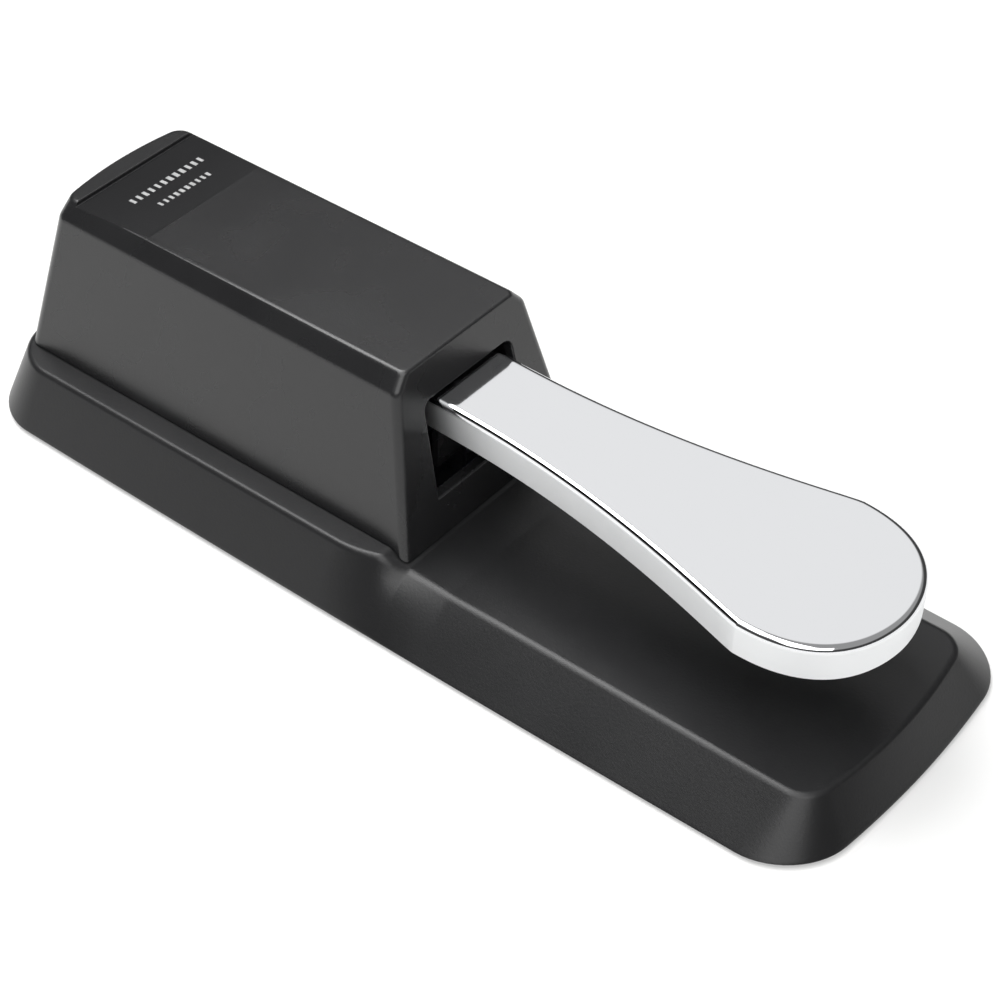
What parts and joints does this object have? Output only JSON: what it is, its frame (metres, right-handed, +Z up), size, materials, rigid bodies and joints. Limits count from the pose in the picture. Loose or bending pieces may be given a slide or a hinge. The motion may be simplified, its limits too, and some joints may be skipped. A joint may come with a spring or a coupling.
{
  "type": "sustain pedal",
  "caption": "Keyboard sustain pedal: spoon-shaped chrome lever hinged in a tapered black housing on a low flanged base with a rubber underside.",
  "frame": {"origin": "centre of the footprint, at the underside of the rubber mat", "axes": "+Y from the lever's toe towards the cable outlet, +Z up, +X to the right seen from the toe"},
  "size_m": [0.0844, 0.24, 0.0548],
  "materials": {
    "black_abs": "satin moulded, fine grain",
    "rubber": "matt",
    "chrome": "mirror plated",
    "zinc_steel": "zinc plated",
    "spring_steel": "drawn and oiled",
    "white_nylon": "moulded",
    "felt": "pressed wool felt",
    "switch_plastic": "moulded",
    "plunger_red": "moulded",
    "brass": "stamped"
  },
  "bodies": {
    "base": {"base_shell": "black_abs", "bottom_plate": "zinc_steel", "bracket_screw_1": "zinc_steel", "bracket_screw_2": "zinc_steel", "bracket_screw_3": "zinc_steel", "bracket_screw_4": "zinc_steel", "cable_grommet": "rubber", "cover_screw_1": "zinc_steel", "cover_screw_2": "zinc_steel", "cover_screw_3": "zinc_steel", "cover_screw_4": "zinc_steel", "housing_cover": "black_abs", "lower_stop_pad": "rubber", "pin_clip_left": "spring_steel", "pin_clip_right": "spring_steel", "pivot_bracket": "zinc_steel", "pivot_pin": "spring_steel", "plate_screw_1": "zinc_steel", "plate_screw_2": "zinc_steel", "plate_screw_3": "zinc_steel", "plate_screw_4": "zinc_steel", "plate_screw_5": "zinc_steel", "plate_screw_6": "zinc_steel", "return_spring": "spring_steel", "rubber_mat": "rubber", "spring_seat": "white_nylon", "stop_bracket": "zinc_steel", "stop_screw_1": "zinc_steel", "stop_screw_2": "zinc_steel", "switch_bracket": "zinc_steel", "switch_case": "switch_plastic", "switch_foot_screw_1": "zinc_steel", "switch_foot_screw_2": "zinc_steel", "switch_screw_1": "zinc_steel", "switch_screw_2": "zinc_steel", "switch_terminal_1": "brass", "switch_terminal_2": "brass", "switch_terminal_3": "brass", "upper_stop_pad": "felt"},
    "lever": {"pedal_lever": "chrome", "bush_left": "white_nylon", "bush_right": "white_nylon", "switch_striker": "white_nylon", "spring_cap": "white_nylon", "lever_shield": "black_abs"},
    "plunger": {"switch_plunger": "plunger_red"}
  },
  "joints": [
    {"name": "lever_hinge", "type": "hinge", "parent": "base", "child": "lever", "pos_m": [0, 0.084, 0.0427], "axis": [1, 0, 0], "range_deg": [0, 5], "stiffness_Nm_per_rad": 20, "springref_deg": -5.16, "deforming": ["return_spring"]},
    {"name": "plunger_slide", "type": "slide", "parent": "base", "child": "plunger", "axis": [0, 0, -1], "range_m": [0, 0.0015]}
  ],
  "couplings": [
    {"joint": "plunger_slide", "follows": "lever_hinge", "m_per_rad": 0.016}
  ]
}
